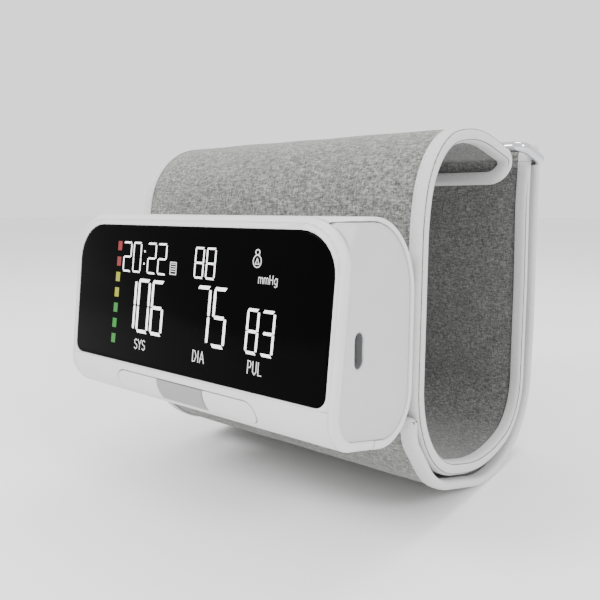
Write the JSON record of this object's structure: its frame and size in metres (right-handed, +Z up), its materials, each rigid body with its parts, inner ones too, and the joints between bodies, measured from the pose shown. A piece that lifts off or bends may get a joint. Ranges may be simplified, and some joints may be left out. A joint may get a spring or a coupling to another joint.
{
  "type": "upper arm blood pressure monitor",
  "caption": "Monitor box with a leaning dark display and a strip of keys, fixed to the front of a padded cuff loop whose strap passes through a wire ring and folds back round the outside.",
  "frame": {"origin": "centre of the bottom of the bounding box, on the table under the strap's lowest stretch", "axes": "+Z up, +X along the arm towards the end with the charging port, +Y away from the display: the display faces -Y"},
  "size_m": [0.138, 0.1526, 0.1334],
  "materials": {
    "white_shell": "smooth satin",
    "end_panel": "smooth satin",
    "start_key": "smooth matt",
    "lens": "polished",
    "diffuser": "matt",
    "dark_plastic": "matt",
    "circuit_board": "satin",
    "battery_foil": "satin",
    "foam": "matt",
    "steel": "satin",
    "copper_winding": "satin",
    "moulded_plastic": "matt",
    "rubber": "matt",
    "grey_cloth": "woven, flecked grey",
    "lining_cloth": "brushed, flecked grey",
    "binding_tape": "smooth tape",
    "hook_tape": "hooked",
    "chrome": "polished"
  },
  "bodies": {
    "monitor_and_cuff": {"front_shell": "white_shell", "rear_shell": "white_shell", "left_end_panel": "end_panel", "right_end_panel": "end_panel", "display_lens": "lens", "display_diffuser": "diffuser", "display_reflector": "dark_plastic", "main_board": "circuit_board", "processor_chip": "dark_plastic", "pressure_sensor": "dark_plastic", "buzzer": "dark_plastic", "battery": "battery_foil", "battery_foam": "foam", "usb_socket": "steel", "usb_board": "circuit_board", "key_board": "circuit_board", "key_switches": "dark_plastic", "pump_motor_can": "steel", "pump_head": "moulded_plastic", "pump_membrane": "rubber", "valve_body": "dark_plastic", "valve_spring": "steel", "air_manifold": "moulded_plastic", "air_tubes": "rubber", "cuff_nozzle": "moulded_plastic", "housing_screws": "steel", "board_screws": "steel", "plate_screws": "steel", "cuff_plate": "dark_plastic", "cuff_outer_fabric": "grey_cloth", "curl_former": "moulded_plastic", "air_bladder": "rubber", "cuff_lining": "lining_cloth", "cuff_binding": "binding_tape", "strap_outer_fabric": "grey_cloth", "strap_lining": "lining_cloth", "strap_binding": "binding_tape", "hook_patch": "hook_tape", "ring_tab": "grey_cloth"},
    "key_left": {"key_left": "white_shell"},
    "key_start": {"key_start": "start_key"},
    "key_right": {"key_right": "white_shell"},
    "pump_rotor": {"pump_rotor": "copper_winding"},
    "valve_plunger": {"valve_plunger": "steel"},
    "ring": {"ring": "chrome"}
  },
  "joints": [
    {"name": "key_left_press", "type": "slide", "parent": "monitor_and_cuff", "child": "key_left", "axis": [0, 0.9205, 0.3907], "range_m": [0, 0.0005], "stiffness_N_per_m": 1500},
    {"name": "key_start_press", "type": "slide", "parent": "monitor_and_cuff", "child": "key_start", "axis": [0, 0.9205, 0.3907], "range_m": [0, 0.0005], "stiffness_N_per_m": 1500},
    {"name": "key_right_press", "type": "slide", "parent": "monitor_and_cuff", "child": "key_right", "axis": [0, 0.9205, 0.3907], "range_m": [0, 0.0005], "stiffness_N_per_m": 1500},
    {"name": "pump_spin", "type": "hinge", "parent": "monitor_and_cuff", "child": "pump_rotor", "pos_m": [0.0198, -0.05, 0.0753], "axis": [1, 0, 0], "continuous": true},
    {"name": "valve_slide", "type": "slide", "parent": "monitor_and_cuff", "child": "valve_plunger", "axis": [0, 0, -1], "range_m": [0, 0.0008], "stiffness_N_per_m": 300, "deforming": ["valve_spring"]},
    {"name": "ring_tilt", "type": "hinge", "parent": "monitor_and_cuff", "child": "ring", "pos_m": [0, 0.042, 0.1298], "axis": [1, 0, 0], "range_deg": [-3, 3], "stiffness_Nm_per_rad": 0.5}
  ]
}
